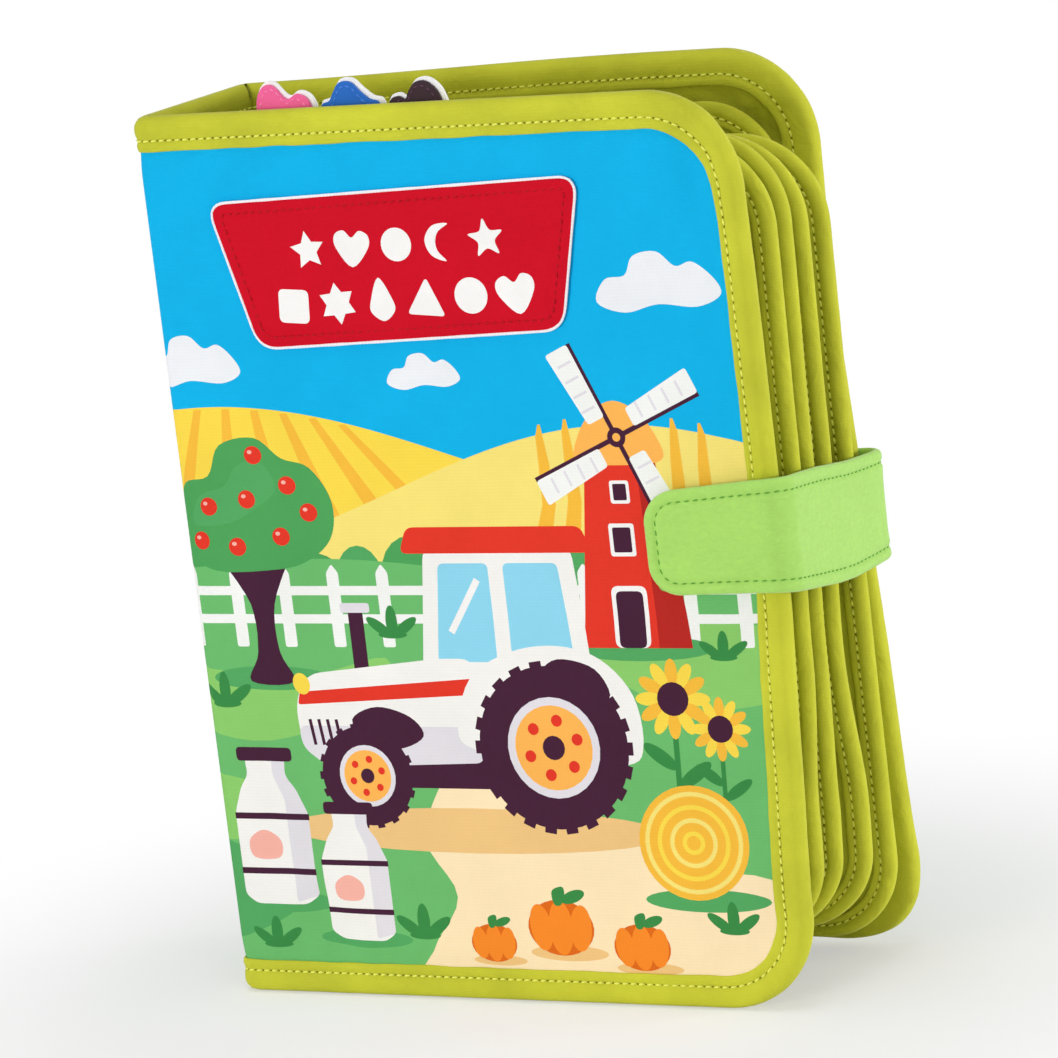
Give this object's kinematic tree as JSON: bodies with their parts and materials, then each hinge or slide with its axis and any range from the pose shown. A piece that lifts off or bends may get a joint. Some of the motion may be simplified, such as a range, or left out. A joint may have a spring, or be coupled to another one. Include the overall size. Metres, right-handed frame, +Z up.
{
  "type": "quiet book",
  "caption": "Soft cloth quiet book standing closed: padded covers and spine, bound fabric leaves, felt figures in an inside pocket and a closing strap",
  "frame": {"origin": "middle of the footprint of the closed book and its strap, on the surface that it stands on", "axes": "+Z up along the spine, the front cover faces -Y, the spine is at -X and the pages open at +X"},
  "size_m": [0.1864, 0.0694, 0.257],
  "materials": {
    "printed_cloth": "matt printed woven polyester",
    "binding_tape": "matt folded cloth tape, stitched",
    "lining_cloth": "matt plain woven cloth",
    "page_cloth": "matt plain woven cloth",
    "padding": "soft white wadding",
    "title_cloth": "matt red cloth with a stitched edge",
    "strap_velour": "short-pile velour",
    "hook_and_loop": "hook and loop tape",
    "pink_felt": "matt felt",
    "blue_felt": "matt felt",
    "plum_felt": "matt felt",
    "white_felt": "matt felt"
  },
  "bodies": {
    "back_cover": {"back_cover_cloth": "printed_cloth", "back_cover_foam": "padding", "back_cover_lining": "lining_cloth", "back_cover_binding": "binding_tape", "strap_base": "strap_velour"},
    "spine": {"spine_cloth": "printed_cloth", "spine_foam": "padding", "spine_lining": "lining_cloth", "spine_binding_top": "binding_tape", "spine_binding_bottom": "binding_tape", "leaf_1_hinge_tape": "binding_tape", "leaf_2_hinge_tape": "binding_tape", "leaf_3_hinge_tape": "binding_tape", "leaf_4_hinge_tape": "binding_tape", "leaf_5_hinge_tape": "binding_tape"},
    "front_cover": {"front_cover_cloth": "printed_cloth", "front_cover_foam": "padding", "front_cover_lining": "lining_cloth", "front_cover_binding": "binding_tape", "title_patch": "title_cloth", "loop_patch": "hook_and_loop", "figure_pocket": "lining_cloth"},
    "leaf_1": {"leaf_1_front_page": "page_cloth", "leaf_1_padding": "padding", "leaf_1_rear_page": "page_cloth", "leaf_1_binding": "binding_tape"},
    "leaf_2": {"leaf_2_front_page": "page_cloth", "leaf_2_padding": "padding", "leaf_2_rear_page": "page_cloth", "leaf_2_binding": "binding_tape"},
    "leaf_3": {"leaf_3_front_page": "page_cloth", "leaf_3_padding": "padding", "leaf_3_rear_page": "page_cloth", "leaf_3_binding": "binding_tape"},
    "leaf_4": {"leaf_4_front_page": "page_cloth", "leaf_4_padding": "padding", "leaf_4_rear_page": "page_cloth", "leaf_4_binding": "binding_tape"},
    "leaf_5": {"leaf_5_front_page": "page_cloth", "leaf_5_padding": "padding", "leaf_5_rear_page": "page_cloth", "leaf_5_binding": "binding_tape"},
    "pink_figure": {"felt_figure_pink_face": "pink_felt", "felt_figure_pink_backing": "white_felt"},
    "blue_figure": {"felt_figure_blue_face": "blue_felt", "felt_figure_blue_backing": "white_felt"},
    "plum_figure": {"felt_figure_plum_face": "plum_felt", "felt_figure_plum_backing": "white_felt"},
    "strap_bridge": {"strap_bridge": "strap_velour"},
    "strap_tab": {"strap_tab": "strap_velour", "hook_patch": "hook_and_loop"}
  },
  "joints": [
    {"name": "spine_fold", "type": "hinge", "parent": "back_cover", "child": "spine", "pos_m": [-0.09325, 0.03218, 0.125], "axis": [0, 0, -1], "range_deg": [0, 90]},
    {"name": "front_cover_open", "type": "hinge", "parent": "spine", "child": "front_cover", "pos_m": [-0.09325, -0.03043, 0.125], "axis": [0, 0, -1], "range_deg": [0, 170]},
    {"name": "leaf_1_turn", "type": "hinge", "parent": "spine", "child": "leaf_1", "pos_m": [-0.0834, -0.01533, 0.123], "axis": [0, 0, -1], "range_deg": [0, 60]},
    {"name": "leaf_2_turn", "type": "hinge", "parent": "spine", "child": "leaf_2", "pos_m": [-0.0834, -0.00673, 0.123], "axis": [0, 0, -1], "range_deg": [0, 48.1]},
    {"name": "leaf_3_turn", "type": "hinge", "parent": "spine", "child": "leaf_3", "pos_m": [-0.0834, 0.00187, 0.123], "axis": [0, 0, -1], "range_deg": [0, 36.2]},
    {"name": "leaf_4_turn", "type": "hinge", "parent": "spine", "child": "leaf_4", "pos_m": [-0.0834, 0.01247, 0.123], "axis": [0, 0, -1], "range_deg": [0, 24.3]},
    {"name": "leaf_5_turn", "type": "hinge", "parent": "spine", "child": "leaf_5", "pos_m": [-0.0834, 0.02107, 0.123], "axis": [0, 0, -1], "range_deg": [0, 12.4]},
    {"name": "pink_figure_lift", "type": "slide", "parent": "front_cover", "child": "pink_figure", "axis": [0, 0, 1], "range_m": [0, 0.045]},
    {"name": "blue_figure_lift", "type": "slide", "parent": "front_cover", "child": "blue_figure", "axis": [0, 0, 1], "range_m": [0, 0.045]},
    {"name": "plum_figure_lift", "type": "slide", "parent": "front_cover", "child": "plum_figure", "axis": [0, 0, 1], "range_m": [0, 0.045]},
    {"name": "strap_swing", "type": "hinge", "parent": "back_cover", "child": "strap_bridge", "pos_m": [0.0909, 0.03467, 0.128], "axis": [0, 0, 1], "range_deg": [0, 170]},
    {"name": "strap_tab_peel", "type": "hinge", "parent": "strap_bridge", "child": "strap_tab", "pos_m": [0.0909, -0.03467, 0.128], "axis": [0, 0, 1], "range_deg": [0, 90], "deforming": ["strap_tab", "hook_patch"]}
  ],
  "couplings": [
    {"joint": "leaf_1_turn", "follows": "front_cover_open", "ratio": 0.35},
    {"joint": "leaf_2_turn", "follows": "front_cover_open", "ratio": 0.28},
    {"joint": "leaf_3_turn", "follows": "front_cover_open", "ratio": 0.21},
    {"joint": "leaf_4_turn", "follows": "front_cover_open", "ratio": 0.14},
    {"joint": "leaf_5_turn", "follows": "front_cover_open", "ratio": 0.07}
  ]
}
